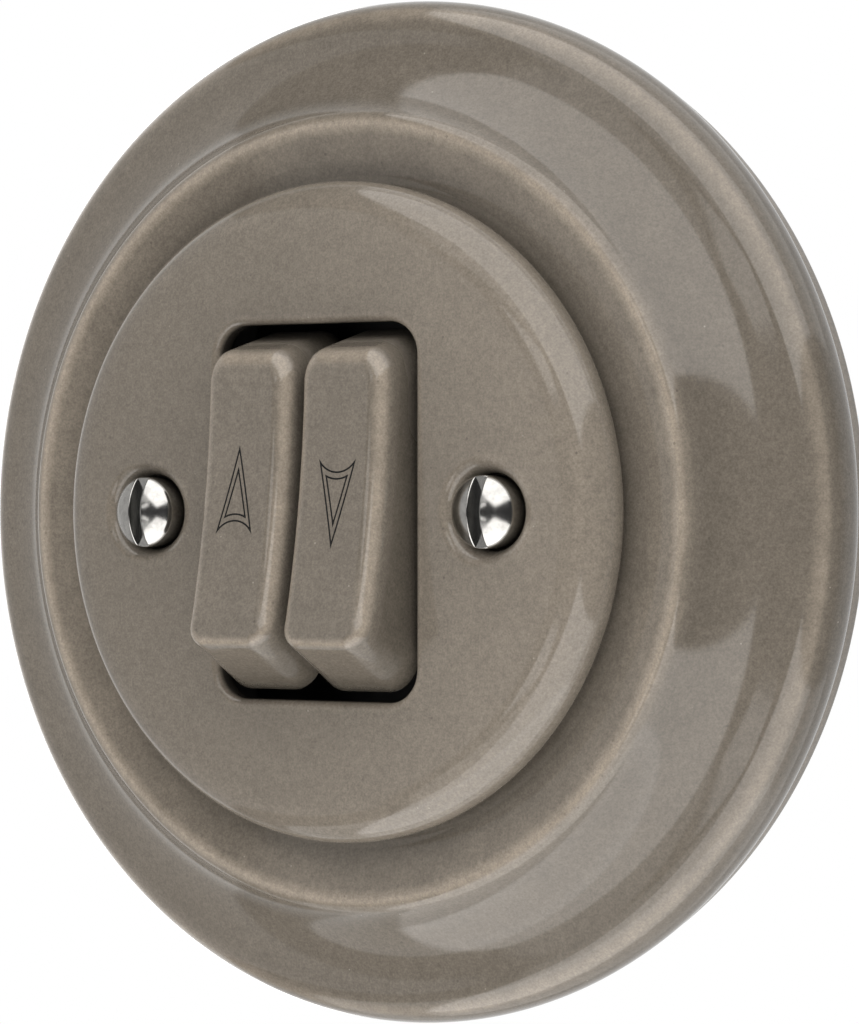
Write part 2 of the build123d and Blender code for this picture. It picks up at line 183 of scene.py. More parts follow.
class ScrewSizes(bpy.types.PropertyGroup):
    """Sizes of the cover's slotted screws and of their holes."""

    pitch: length("Pitch", "Distance between the screws", 39.6)
    shift: length("Shift", "Screws to the side of the cover's middle", -0.6)
    shank: length("Shank", "Radius of the shank", 1.75)
    head: length("Head", "Radius of the head", 3.45)
    rim: length("Rim", "Rim of the head above the wall", 19.6)
    rim_round: length("Rim round", "Rounding of the head's rim", 0.3)
    rise: length("Rise", "Dome of the head above its rim", 1.5)
    seat: length("Seat", "Underside of the head above the wall", 16.4)
    tip: length("Tip", "End of the shank above the wall", 5.4)
    slot: length("Slot", "Width of the slot", 1.3)
    slot_depth: length("Slot depth", "Depth of the slot", 1.5)
    slot_edge: length("Slot edge", "Rounding of the slot's edges", 0.12)
    recess: length("Recess", "Radius of the hole around the head", 3.55)
    recess_lip: length("Recess lip", "Rounding of that hole's edge", 1.8)
    shank_hole: length("Shank hole", "Radius of the hole for the shank", 2.0)


class FinishColours(bpy.types.PropertyGroup):
    """Colours of the finishes."""

    glaze: colour("Glaze", "Taupe grey glaze at its usual thickness", 0.136, 0.1192, 0.0985)
    # Partly glaze thinned over edges, and partly painted light: highlight bands on the bead and the keys'
    # edges, and a lighter dish
    thin_glaze_and_painted_light: colour("Thin glaze", "Where the glaze thins over edges", 0.298, 0.257, 0.208)
    # Partly glaze pooled in hollows, and partly painted shade by the seat, down the cover's edge, under the
    # rim and on the keys' walls
    glaze_pool_and_shade: colour("Pooled glaze", "Where the glaze gathers in hollows", 0.090, 0.079, 0.064)
    # Painted shade: this near-black colour stands in for the shade in the window, the screw recesses and low
    # on the keys
    painted_well_shade: colour("Glaze in wells", "Where the glaze lies thick in deep wells", 0.020, 0.018, 0.016)
    dark_specks: colour("Dark specks", "Iron specks in the glaze", 0.05, 0.043, 0.037)
    light_specks: colour("Light specks", "Pale specks in the glaze", 0.42, 0.39, 0.34)
    bisque: colour("Bare porcelain", "Unglazed foot", 0.52, 0.49, 0.44)
    print_black: colour("Print", "Fired-on black of the arrows", 0.007, 0.007, 0.007)
    chrome: colour("Chrome", "Plating of the cover screws", 0.41, 0.41, 0.40)
    zinc: colour("Zinc", "Plating of the insert's screws", 0.52, 0.53, 0.54)
    # Painted shade: the zinc support plate is made near black, so the insert seen through the window reads
    # as shade
    plate: colour("Plate", "Black passivated support plate", 0.022, 0.022, 0.023)
    steel: colour("Steel", "Axle and springs", 0.42, 0.43, 0.44)
    brass: colour("Brass", "Posts, contacts and clamps", 0.60, 0.43, 0.19)
    grey_moulding: colour("Grey moulding", "Back of the insert", 0.40, 0.39, 0.365)
    black_moulding: colour("Black moulding", "Body of the insert and rockers", 0.016, 0.016, 0.017)


class StageSettings(bpy.types.PropertyGroup):
    """Camera, lamps and floor."""

    azimuth: angle("Azimuth", "Camera's turn to the right of straight ahead", 34.01)
    distance: length("Distance", "Camera to the object", 425.67)
    aim: length("Aim", "Point aimed at, to the right of the middle", 0.17)
    lens: factor("Lens", "Focal length in millimetres", 151.23, 300.0)
    upper_light: factor("Upper light", "Brightness of the sloping panel above on the right", 2.5, 20.0)
    lower_light: factor("Lower light", "Brightness of the sloping panel below on the right", 2.45, 20.0)
    back_light: factor("Back light", "Brightness of the sloping panels' ends behind the object", 0.95, 20.0)
    front_light: factor("Front light", "Brightness of the panels in front on the left", 0.80, 20.0)
    strip_light: factor("Strip light", "Brightness of the two small panels in front", 1.9, 20.0)
    fill_light: factor("Fill light", "Brightness of the panel on the left", 0.58, 20.0)
    rim_light: factor("Rim light", "Brightness of the panel behind on the left", 2.5, 20.0)
    light: colour("Light", "Colour of the lamps", 1.0, 0.97, 0.94)
    room: factor("Room", "Brightness of the room on matt surfaces", 0.25, 5.0)
    dark: factor("Dark", "Brightness of the room in reflections, between the panels", 0.05, 5.0)
    behind: factor("Behind", "Brightness of the background behind the object in reflections", 1.0, 5.0)
    floor_drop: length("Floor drop", "Floor below the object's middle", 1100.0)
    floor_radius: length("Floor radius", "Radius of the floor", 1000.0)
    floor: colour("Floor", "Pale floor", 0.80, 0.80, 0.79)


class SwitchSettings(bpy.types.PropertyGroup):
    """All settings of the switch."""

    ring: bpy.props.PointerProperty(type=RingSizes)
    cover: bpy.props.PointerProperty(type=CoverSizes)
    key: bpy.props.PointerProperty(type=KeySizes)
    sign: bpy.props.PointerProperty(type=SignSizes)
    screw: bpy.props.PointerProperty(type=ScrewSizes)
    finish: bpy.props.PointerProperty(type=FinishColours)
    stage: bpy.props.PointerProperty(type=StageSettings)


def settings():
    """The switch's settings in the current scene."""
    return bpy.context.scene.blind_switch


# Paths and surfaces


def share_of_way(value, low, high):
    """A value's share of the way from low to high, held between nought and one."""
    return np.clip((value - low) / (high - low), 0.0, 1.0)


def full_turn(count):
    """The angles of a whole turn in even steps."""
    return np.arange(count) * 2 * pi / count


def arc(centre, radius, start, end, count):
    """Points centre + radius (cos a, sin a), with a going evenly from start to end in radians."""
    turn = np.linspace(start, end, count)
    return np.column_stack((centre[0] + radius * np.cos(turn), centre[1] + radius * np.sin(turn)))


def circle(radius, count, centre=0.0):
    """Points of a circle in the wall's plane."""
    turns = full_turn(count)
    return np.column_stack((centre + radius * np.cos(turns), radius * np.sin(turns)))


def bearing(start, end):
    """The angle of the way from one point to another."""
    return atan2(end[1] - start[1], end[0] - start[0])


def rounded_path(points, radii, count=7):
    """An open path with rounded corners: a circle of each radius touches both sides of its corner."""
    points = [np.array(p, float) for p in points]
    runs = [points[:1]]
    for before, corner, after, radius in zip(points, points[1:], points[2:], radii):
        back = (before - corner) / np.linalg.norm(before - corner)
        ahead = (after - corner) / np.linalg.norm(after - corner)
        half = acos(np.clip(back @ ahead, -1, 1)) / 2
        centre = corner + (back + ahead) / np.linalg.norm(back + ahead) * radius / sin(half)
        start = bearing(centre, corner + back * radius / tan(half))
        end = bearing(centre, corner + ahead * radius / tan(half))
        turn = (end - start + pi) % (2 * pi) - pi
        runs.append(arc(centre, radius, start, start + turn, count))
    return np.vstack(runs + [points[-1:]])


def dense(path, step):
    """The same path with its long straight runs divided evenly into steps of at most the given length."""
    runs = [
        np.linspace(a, b, max(1, int(np.ceil(np.linalg.norm(b - a) / step))), endpoint=False)
        for a, b in zip(path, path[1:])
    ]
    return np.vstack(runs + [path[-1:]])


TIGHT_ROUND = 1.2 * MM


def bulge(path):
    """How sharply an open path turns at each point, from -1 in a tight hollow to 1 on a tight edge.

    The turning angle between neighbouring steps is divided by the step's length, and that is measured in
    tight rounds. A path that runs clockwise round its solid has positive edges.
    """
    before, after = 2 * path[:1] - path[1:2], 2 * path[-1:] - path[-2:-1]
    steps = np.diff(np.vstack((before, path, after)), axis=0)
    heading = np.arctan2(steps[:, 1], steps[:, 0])
    turn = (np.diff(heading) + pi) % (2 * pi) - pi
    size = np.linalg.norm(steps, axis=1)
    bend = -turn / np.maximum((size[1:] + size[:-1]) / 2, TINY)
    return np.clip(bend * TIGHT_ROUND, -1.0, 1.0)


def evened(values, path, reach):
    """Values along a path, averaged with weights that fall off as a bell curve over the given reach."""
    step = np.linalg.norm(np.diff(path, axis=0), axis=1)
    place = np.concatenate(([0.0], np.cumsum(step)))
    gap = np.abs(place[:, None] - place)
    weight = np.exp(-0.5 * (gap / reach) ** 2) * np.gradient(place)
    return weight @ values / weight.sum(axis=1)


def grid_faces(rows, columns, wrap_rows=False, wrap_columns=False):
    """Four-sided faces between neighbouring points of a grid that is stored row by row."""
    i = np.arange(rows if wrap_rows else rows - 1)[:, None]
    j = np.arange(columns if wrap_columns else columns - 1)
    below = (i + 1) % rows
    right = (j + 1) % columns
    corners = (i * columns + j, below * columns + j, below * columns + right, i * columns + right)
    return np.stack(corners, axis=-1).reshape(-1, 4)


def out_of_wall(across, along, height):
    """World points from x, z and the height out of the wall: the front faces -Y."""
    return np.stack(np.broadcast_arrays(across, -np.asarray(height), along), axis=-1)


def turned(path, count, closed=False, centre=0.0):
    """A surface of revolution about a line out of the wall.

    A path point (r, h) at the turn a lies at (centre + r cos a, r sin a) in the wall's plane, at height h.
    """
    turns = full_turn(count)
    r, h = path[:, :1], path[:, 1:]
    points = out_of_wall(centre + r * np.cos(turns), r * np.sin(turns), h)
    return points.reshape(-1, 3), grid_faces(len(path), count, closed, True)


def carried(section, outline, normal):
    """A surface that carries a section round an outline.

    A section point (d, h) lies the distance d from the outline along its normal, at height h.
    """
    flat = outline + normal * section[:, :1, None]
    points = out_of_wall(flat[..., 0], flat[..., 1], section[:, 1:])
    return points.reshape(-1, 3), grid_faces(len(section), len(outline), False, True)


def all_round(count, **values):
    """Values of a path's points, each given to all points of its ring."""
    return {name: np.repeat(value, count) for name, value in values.items()}


def rounded_outline(half_width, half_length, corner, sides=24, ends=12, corners=14):
    """A rectangle with round corners, run counterclockwise, with its outward unit normals."""
    turn = [np.linspace(k * pi / 2, (k + 1) * pi / 2, corners) for k in range(4)]
    normals = [np.column_stack((np.cos(t), np.sin(t))) for t in turn]
    x, z = half_width - corner, half_length - corner
    middles = [np.array(middle) for middle in ((x, z), (-x, z), (-x, -z), (x, -z))]
    points, facing = [], []
    for k in range(4):
        points.append(middles[k] + corner * normals[k])
        facing.append(normals[k])
        after = middles[(k + 1) % 4] + corner * normals[(k + 1) % 4][0]
        count = ends if k % 2 == 0 else sides
        points.append(np.linspace(points[-1][-1], after, count + 2)[1:-1])
        facing.append(np.tile(normals[k][-1], (count, 1)))
    return np.vstack(points), np.vstack(facing)


def filled(loops, height):
    """Flat triangles between an outer loop and the loops of its holes, at one height out of the wall."""
    flat = [np.pad(loop, ((0, 0), (0, 1))).tolist() for loop in loops]
    faces = np.array(tessellate_polygon(flat))
    plan = np.vstack(loops)
    return out_of_wall(plan[:, 0], plan[:, 1], np.full(len(plan), height)), faces


# Pieces


def new_piece(name, surfaces, material, body, nodes=(), weld=WELD):
    """One welded mesh of several surfaces, each given as points, faces and optional values per point.

    The values are kept as point attributes: "edge" is how thin the glaze lies, below nought where it
    gathers, and it also paints light and shade; "bare" marks porcelain without glaze, "deep" marks wells
    where shade is painted dark, and "dull" glaze without gloss.
    """
    points = np.vstack([s[0] for s in surfaces])
    starts = np.cumsum([0] + [len(s[0]) for s in surfaces])
    faces = []
    for s, start in zip(surfaces, starts):
        faces += (s[1] + start).tolist()
    mesh = bpy.data.meshes.new(name)
    mesh.from_pydata(points.tolist(), [], faces)
    kept = [s[2] if len(s) > 2 else {} for s in surfaces]
    for key in ("edge", "bare", "deep", "dull"):
        if any(key in values for values in kept):
            runs = [np.broadcast_to(values.get(key, 0.0), len(s[0])) for values, s in zip(kept, surfaces)]
            mesh.attributes.new(key, "FLOAT", "POINT").data.foreach_set("value", np.concatenate(runs))
    work = bmesh.new()
    work.from_mesh(mesh)
    bmesh.ops.remove_doubles(work, verts=work.verts, dist=weld)
    bmesh.ops.dissolve_degenerate(work, edges=work.edges, dist=weld)
    bmesh.ops.recalc_face_normals(work, faces=work.faces)
    work.to_mesh(mesh)
    work.free()
    mesh.polygons.foreach_set("use_smooth", np.ones(len(mesh.polygons), bool))
    mesh.set_sharp_from_angle(angle=SHARP_TURN)
    mesh.materials.append(material)
    piece = bpy.data.objects.new(name, mesh)
    bpy.context.scene.collection.objects.link(piece)
    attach(piece, body)
    if nodes:
        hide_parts(*nodes)


# Rounding of each corner on the ring's back, from the seat to the foot's outer edge
RING_BACK_ROUNDS = np.array((2.0, 0.5, 0.5, 2.5, 2.5, 0.5, 0.5)) * MM
RING_BACK_STEP = 0.8 * MM


def ring_path():
    """The frame ring's section as a closed path of radius and height, from the underside of the bead.

    The bead, the cove and the crest are arcs that touch each other. The dished slope touches the crest and
    runs to the seat, and the back follows straight lines with rounded corners.
    """
    ring = settings().ring
    bead = (ring.radius - ring.bead_round, ring.bead_rise + ring.bead_round)
    crest = (ring.crest_radius, ring.crest_height - ring.crest_round)
    span = hypot(crest[0] - bead[0], crest[1] - bead[1])
    from_bead = ring.bead_round + ring.cove_round
    from_crest = ring.crest_round + ring.cove_round
    along = (from_bead**2 - from_crest**2 + span**2) / (2 * span)
    aside = sqrt(from_bead**2 - along**2)
    way = ((crest[0] - bead[0]) / span, (crest[1] - bead[1]) / span)
    cove = (bead[0] + along * way[0] + aside * way[1], bead[1] + along * way[1] - aside * way[0])
    to_bead, to_crest = bearing(cove, bead), bearing(cove, crest)
    seat = (ring.seat_radius, ring.seat_height)
    reach = hypot(crest[0] - seat[0], crest[1] - seat[1])
    slope = bearing(seat, crest) + asin(ring.crest_round / reach)
    foot = bead[0] + ring.bead_round * cos(ring.bead_under)
    under = (foot, bead[1] - ring.bead_round * sin(ring.bead_under))
    front = np.vstack((
        arc(bead, ring.bead_round, -ring.bead_under, to_bead + pi, 64),
        arc(cove, ring.cove_round, to_bead, to_crest, 60)[1:],
        arc(crest, ring.crest_round, to_crest + pi, pi / 2 + slope, 40)[1:],
    ))
    web_back = ring.seat_height - ring.web
    inner_foot = foot - ring.foot
    corners = [
        front[-1],
        seat,
        (ring.bore_radius, ring.seat_height),
        (ring.bore_radius, web_back),
        (ring.crest_radius - ring.crest_round, web_back),
        (inner_foot, ring.bead_round),
        (inner_foot, 0.0),
        (foot, 0.0),
        under,
    ]
    back = dense(rounded_path(corners, RING_BACK_ROUNDS), RING_BACK_STEP)
    return np.vstack((front, back[1:-1]))


def flow(place, table):
    """The glaze's thinness at a place, read from a table of places and joined by smooth steps."""
    places, thinness = np.array(table).T
    k = np.clip(np.searchsorted(places, place) - 1, 0, len(places) - 2)
    share = share_of_way(place, places[k], places[k + 1])
    return thinness[k] + (thinness[k + 1] - thinness[k]) * share * share * (3 - 2 * share)


# Millimetres outwards from the seat's edge, the crest and the rim, and the glaze's thinness there
# Darker at the seat's edge as painted shade from the cover, lighter further out on the dish as painted light
SEAT_FLOW = ((-0.6, -0.6), (0.3, -0.25), (1.4, 0.18))
# Lighter on the crest, partly thin glaze and partly a painted highlight; the dish lighter as painted light;
# darker just outside the crest as painted shade
CREST_FLOW = ((-1.0, 0.26), (0.1, 0.72), (1.0, 0.26), (2.0, -0.35), (6.0, -0.12))
# A lighter band on the bead as a painted highlight, and the rim's underside darker as painted shade
RIM_FLOW = ((-3.2, -0.10), (-1.2, 0.45), (-0.1, -0.6))
SEAT_MARGIN = 0.1 * MM


def ring_glaze(path):
    """The ring's front glaze: run off the crest and rim, thick beside, with painted light and shade."""
    ring = settings().ring
    starts = ((ring.seat_radius, SEAT_FLOW), (ring.crest_radius, CREST_FLOW), (ring.radius, RIM_FLOW))
    table = [(start + out * MM, thin) for start, rows in starts for out, thin in rows]
    ends = (ring.bore_radius, ring.radius), (ring.seat_height - SEAT_MARGIN, 0.0)
    front = path[:, 1] > np.interp(path[:, 0], *ends)
    return np.where(front, flow(path[:, 0], table), 0.0)


FLAT_MARGIN = 0.35 * MM
COLLAR_ROUNDS = np.array((0.4, 0.4, 0.4, 0.15)) * MM
REBATE_ROUND = 0.3 * MM
WELL_ROUND = 0.2 * MM
LIP_THIN = 0.35
LIP_REACH = 0.25 * MM
# Share of the way down the cover's edge, and the glaze's thinness there: a thin line where the shoulder
# starts, then darker towards the frame as painted shade
COVER_FLOW = ((0.0, 0.0), (0.05, 0.10), (0.25, -0.10), (0.7, -0.50), (1.0, -1.0))
# Where shade is painted into an opening: shares of its lip's height, the way down from there, and how dark
# it gets
WINDOW_PAINTED_SHADE = (0.4, 0.6 * MM, 1.0)
RECESS_PAINTED_SHADE = (0.22, 1.3 * MM, 0.85)


def cover_rim():
    """The cover's outer section: an elliptic shoulder, a quarter round towards the frame, and the collar."""
    cover, seat = settings().cover, settings().ring.seat_height
    shoulder = np.array((cover.radius - cover.shoulder_width, cover.face_height - cover.shoulder_round))
    under = (cover.radius - cover.under_round, seat + cover.under_round)
    inner = cover.spigot_radius - cover.spigot_wall
    corners = [
        (under[0], seat),
        (cover.spigot_radius, seat),
        (cover.spigot_radius, cover.spigot_end),
        (inner, cover.spigot_end),
        (inner, cover.back_height),
        (inner - FLAT_MARGIN, cover.back_height),
    ]
    return np.vstack((
        ((shoulder[0] - FLAT_MARGIN, cover.face_height),),
        shoulder + arc((0.0, 0.0), 1.0, pi / 2, 0, 60) * (cover.shoulder_width, cover.shoulder_round),
        arc(under, cover.under_round, 0, -pi / 2, 24),
        rounded_path(corners, COLLAR_ROUNDS)[1:],
    ))


def opening(start, lip, inside, rounding, count):
    """The section of an opening in the cover: a quarter round off the face, and then an inside path."""
    face = settings().cover.face_height
    inside = [(start, face - lip), *inside]
    return np.vstack((
        ((start + lip + FLAT_MARGIN, face),),
        arc((start + lip, face - lip), lip, pi / 2, pi, 18),
        rounded_path(inside, (rounding,) * (len(inside) - 2), count)[1:],
    ))


def opening_glaze(section, lip, dark):
    """How the glaze lies in an opening: thin on its lip's bulge, and painted dark as shade part of the way
    down.
    """
    share, reach, most = dark
    depth = settings().cover.face_height - section[:, 1]
    return {
        "edge": LIP_THIN * evened(-bulge(section), section, LIP_REACH),
        "deep": np.clip((depth - share * lip) / reach, 0.0, most),
    }


def cover_surfaces():
    """The cover's rim, window and screw holes, and the flat front and back between them."""
    cover, screw, seat = settings().cover, settings().screw, settings().ring.seat_height
    face, back = cover.face_height, cover.back_height
    rim = cover_rim()
    edge = flow(share_of_way(rim[:, 1], face, seat), COVER_FLOW)
    surfaces = [(*turned(rim, COVER_STEPS), all_round(COVER_STEPS, edge=edge))]

    half = (cover.window_width / 2, cover.window_length / 2)
    outline, normal = rounded_outline(*half, cover.window_corner, 40, 26, 22)
    outline = outline + np.array((cover.window_shift, 0.0))
    ledge, wide = face - cover.window_wall, cover.rebate_margin
    inside = [(0.0, ledge), (wide, ledge), (wide, back), (wide + REBATE_ROUND + FLAT_MARGIN, back)]
    section = opening(0.0, cover.window_lip, inside, REBATE_ROUND, 7)
    glaze = opening_glaze(section, cover.window_lip, WINDOW_PAINTED_SHADE)
    surfaces.append((*carried(section, outline, normal), all_round(len(outline), **glaze)))
    front_loops = [circle(rim[0, 0], COVER_STEPS), outline + normal * section[0, 0]]
    back_loops = [circle(rim[-1, 0], COVER_STEPS), outline + normal * section[-1, 0]]

    inside = [(screw.recess, screw.seat), (screw.shank_hole, screw.seat), (screw.shank_hole, back),
              (screw.shank_hole + 2 * WELL_ROUND, back)]
    bore = opening(screw.recess, screw.recess_lip, inside, WELL_ROUND, 5)
    values = all_round(RECESS_STEPS, **opening_glaze(bore, screw.recess_lip, RECESS_PAINTED_SHADE))
    for hand in (-1, 1):
        middle = screw.shift + hand * screw.pitch / 2
        surfaces.append((*turned(bore, RECESS_STEPS, centre=middle), values))
        front_loops.append(circle(bore[0, 0], RECESS_STEPS, middle))
        back_loops.append(circle(bore[-1, 0], RECESS_STEPS, middle))
    return surfaces + [filled(front_loops, face), filled(back_loops, back)]


def key_place(points, side):
    """Key points (x, y, z about the pivot) at rest: turned about x by the tilt, then set out of the wall."""
    key = settings().key
    x, y, z = points[..., 0], points[..., 1], points[..., 2]
    lean = -key.tilt
    along = y * cos(lean) - z * sin(lean)
    height = y * sin(lean) + z * cos(lean) + key.pivot_height
    return out_of_wall(x + side * key.pitch / 2, along, height)


def dish_radius():
    """The radius of the arc through the ends of a key's front and its lowest point."""
    key = settings().key
    return (key.length**2 / 4 + key.dish**2) / (2 * key.dish)


def key_face_height(y):
    """The dished front of a key: an arc along its length, with its lowest point in the middle."""
    key, radius = settings().key, dish_radius()
    return key.face - key.dish + radius - np.sqrt(radius**2 - y**2)


def key_face_slope(y):
    """The slope of the dished front along the key."""
    return y / np.sqrt(dish_radius() ** 2 - y**2)


# Rings of a key's front, front edge, walls and foot, and how they crowd on the front towards its edge
FACE_RINGS, EDGE_RINGS, WALL_RINGS, FOOT_RINGS = 18, 15, 7, 5
FACE_CROWDING = 0.8
# How far the painted shade takes to turn dark, and how much sooner the walls are painted dark on the long
# sides
SHADE_REACH = 1.2 * MM
SIDE_PAINTED_SHADE = 0.5
# Below the cover's face by this much, and between these shares of the length, the upper end turns dull
DULL_DEPTH = 1.0 * MM
DULL_SPAN = (0.2, 0.45)


def key_surface(side):
    """A hollow key as rings of one outline, from the middle of its front to the roof of its pocket.

    Each ring has the same number of points. The front edge is the arc of a ball that touches the drafted
    wall and the dished face. The walls spread with their draft, and the pocket is a smaller rounded
    rectangle.
    """
    key = settings().key
    plan, normal = rounded_outline(key.width / 2, (key.length + key.tail) / 2, key.corner)
    plan = plan + np.array((key.up_shift if side < 0 else key.down_shift, -key.tail / 2))
    draft = normal[:, 0] ** 2 * tan(key.side_draft) + normal[:, 1] ** 2 * tan(key.end_draft)
    top = key_face_height(plan[:, 1])
    rim = plan + normal * (draft * (key.face - top))[:, None]
    lean = np.arctan(draft)
    rise = np.arctan(key_face_slope(plan[:, 1]) * normal[:, 1])
    wall_way = np.stack((np.cos(lean), np.sin(lean)))
    top_way = np.stack((-np.sin(rise), np.cos(rise)))
    cross = wall_way[0] * top_way[1] - wall_way[1] * top_way[0]
    edge = np.interp(normal[:, 1], (-1.0, 0.0, 1.0), (key.lower_edge, key.edge, key.upper_edge))
    ball_out = -edge * (top_way[1] - wall_way[1]) / cross
    ball_up = -edge * (wall_way[0] - top_way[0]) / cross
    share = np.linspace(1, 0, EDGE_RINGS)[:, None]
    turn = lean + (pi / 2 + rise - lean) * share
    out = ball_out + edge * np.cos(turn)
    up = ball_up + edge * np.sin(turn)

    rings, thin = [], []
    inner = rim + normal * out[0][:, None]
    for part in np.linspace(0.0, 1.0, FACE_RINGS + 1)[:-1] ** FACE_CROWDING:
        flat = inner * part
        rings.append(np.column_stack((flat, key_face_height(flat[:, 1]))))
        thin.append(np.full(len(plan), key.thin))
    # A lighter band round the front edge: thin glaze, and partly a painted highlight
    for o, u, s in zip(out, up, share[:, 0]):
        rings.append(np.column_stack((rim + normal * o[:, None], top + u)))
        thin.append(np.full(len(plan), key.thin * s + key.edge_thin_and_highlight * sin(pi * s) ** 2))
    back = key.face - key.skirt
    low = rings[-1]
    for part in np.linspace(0, 1, WALL_RINGS + 1)[1:]:
        z = low[:, 2] + (back + key.foot_round - low[:, 2]) * part
        rings.append(np.column_stack((low[:, :2] + normal * (draft * (low[:, 2] - z))[:, None], z)))
        # Painted shade: the walls are painted darker the further back they go, sooner on the long sides
        thin.append(np.maximum(-part - SIDE_PAINTED_SHADE * np.abs(normal[:, 0]), -1.0))
    end = rings[-1][:, :2]
    for t in np.linspace(0, pi / 2, FOOT_RINGS + 1)[1:]:
        z = np.full(len(plan), back + key.foot_round * (1 - sin(t)))
        rings.append(np.column_stack((end - normal * key.foot_round * (1 - cos(t)), z)))
        thin.append(np.full(len(plan), -1.0))
    pocket, _ = rounded_outline(key.pocket_width / 2, key.pocket_length / 2, key.pocket_corner)
    roof = key.face - key.roof
    for part, z in ((1.0, back), (1.0, roof), (0.5, roof), (0.0, roof)):
        rings.append(np.column_stack((pocket * part, np.full(len(plan), z))))
        thin.append(np.zeros(len(plan)))

    points = key_place(np.stack(rings), side).reshape(-1, 3)
    height = -points[:, 1]
    below = share_of_way(settings().cover.face_height - height, 0.0, DULL_DEPTH)
    dull = below * share_of_way(points[:, 2] / key.length, *DULL_SPAN)
    # Painted shade: dark below the shade height, as shade inside the window
    deep = share_of_way(key.shade - height, 0.0, SHADE_REACH)
    faces = grid_faces(len(rings), len(plan), False, True)
    return points, faces, {"edge": np.concatenate(thin), "deep": deep, "dull": dull}


def sign_outline(tip, base, half_width, base_arc):
    """An arrow's outline: two straight sides to a tip, and a base that is hollowed by a circular arc."""
    radius = (half_width**2 + base_arc**2) / (2 * base_arc)
    spread = asin(half_width / radius)
    hollow = arc((0.0, -base - radius + base_arc), radius, pi / 2 + spread, pi / 2 - spread, 25)
    tip_point = np.array((0.0, tip))
    left = np.linspace(tip_point, hollow[0], 41)[:-1]
    right = np.linspace(hollow[-1], tip_point, 41)[1:-1]
    return np.vstack((left, hollow, right))


# Corners of the print's section, in widths of the line and lifts above the glaze
PRINT_SECTION = ((-0.5, -1.5), (-0.5, 1.0), (0.5, 1.0), (0.5, -1.5))


def printed_line(outline, shift, side, turn):
    """A thin raised line along a closed outline on a key's dished face.

    At each point the line's two edges lie half a width aside, along the mitre of the neighbouring steps. The
    section is a flat rectangle from just under the glaze to the print's lift.
    """
    sign = settings().sign
    path = outline * turn + np.array((shift, 0.0))
    ahead = np.roll(path, -1, axis=0) - path
    ahead /= np.linalg.norm(ahead, axis=1, keepdims=True)
    behind = np.roll(ahead, 1, axis=0)
    aside = np.stack((-ahead[:, 1] - behind[:, 1], ahead[:, 0] + behind[:, 0]), axis=-1)
    aside /= np.maximum((aside**2).sum(axis=1, keepdims=True) / 2, TINY)
    rows = []
    for offset, lift in PRINT_SECTION:
        flat = path + aside * sign.line * offset
        rows.append(np.column_stack((flat, key_face_height(flat[:, 1]) + sign.lift * lift)))
    points = key_place(np.stack(rows), side).reshape(-1, 3)
    return points, grid_faces(len(rows), len(path), True, True)


# Lines along the slot, points across each half of the head, and lines across the slot's floor
SLOT_LINES, HALF_POINTS, FLOOR_LINES = 49, 29, 9


def slotted_screw(middle):
    """A cover screw with a domed head and a straight slot, as surfaces about its middle.

    The head's top is a height over the disc: the dome's arc, turned down to the rim by a quarter round, and
    cut to the slot's floor between the slot's two walls. Each half of the disc is a grid of lines across the
    slot. The sides, the shank and its tip are turned from a path of straight runs.
    """
    screw = settings().screw
    head, half, edge = screw.head, screw.slot / 2, screw.slot_edge
    dome = (head**2 + screw.rise**2) / (2 * screw.rise)
    crown = screw.rim + screw.rise
    floor = crown - screw.slot_depth

    def top(a, b):
        """The head's height, a across the slot and b along it."""
        r = np.minimum(np.hypot(a, b), head)
        down = share_of_way(r, head - screw.rim_round, head)
        return crown - dome + np.sqrt(dome**2 - r**2) - screw.rim_round * (1 - np.sqrt(1 - down**2))

    def surface(a, b, h, wrap=False):
        """A grid of points at the height h."""
        points = out_of_wall(middle + a, b, h)
        return points.reshape(-1, 3), grid_faces(*points.shape[:2], False, wrap)

    swing = np.sin(np.linspace(-pi / 2, pi / 2, SLOT_LINES))[:, None]
    b = sqrt(head**2 - half**2) * swing
    limit = np.sqrt(np.maximum(head**2 - b**2, half**2))
    a = half + (limit - half) * (1 - np.cos(np.linspace(0, pi, HALF_POINTS))) / 2
    fall = np.clip(1 - (a - half) / edge, 0, 1)
    h = np.maximum(top(a, b) - edge * (1 - np.sqrt(1 - fall**2)), np.minimum(floor, top(a, b)))
    wall = np.stack((h[:, 0], np.minimum(floor, top(half, b[:, 0]))), axis=1)
    surfaces = []
    for hand in (-1, 1):
        surfaces += [surface(hand * a, b, h), surface(np.full_like(wall, hand * half), b, wall)]
    across = np.linspace(-half, half, FLOOR_LINES)
    mouth = np.sqrt(head**2 - across**2)
    surfaces.append(surface(across, mouth * swing, np.minimum(floor, top(across, mouth * swing))))

    right = np.arctan2(b[:, 0], limit[:, 0])
    gap = np.arctan2(mouth, across)[::-1][1:-1]
    turns = np.concatenate((right, gap, right + pi, gap + pi))
    shank, tip = screw.shank, screw.tip
    r, level = np.array((
        (head, top(head, 0.0)), (head, screw.seat), (shank, screw.seat),
        (shank, tip + shank / 2), (shank / 2, tip), (0.0, tip),
    )).T[..., None]
    surfaces.append(surface(r * np.cos(turns), r * np.sin(turns), level, True))
    return surfaces


# Finishes

# Ranges of a noise's values that are spread over a whole step
CLOUDS = (0.3, 0.7)
GRAIN = (0.25, 0.75)


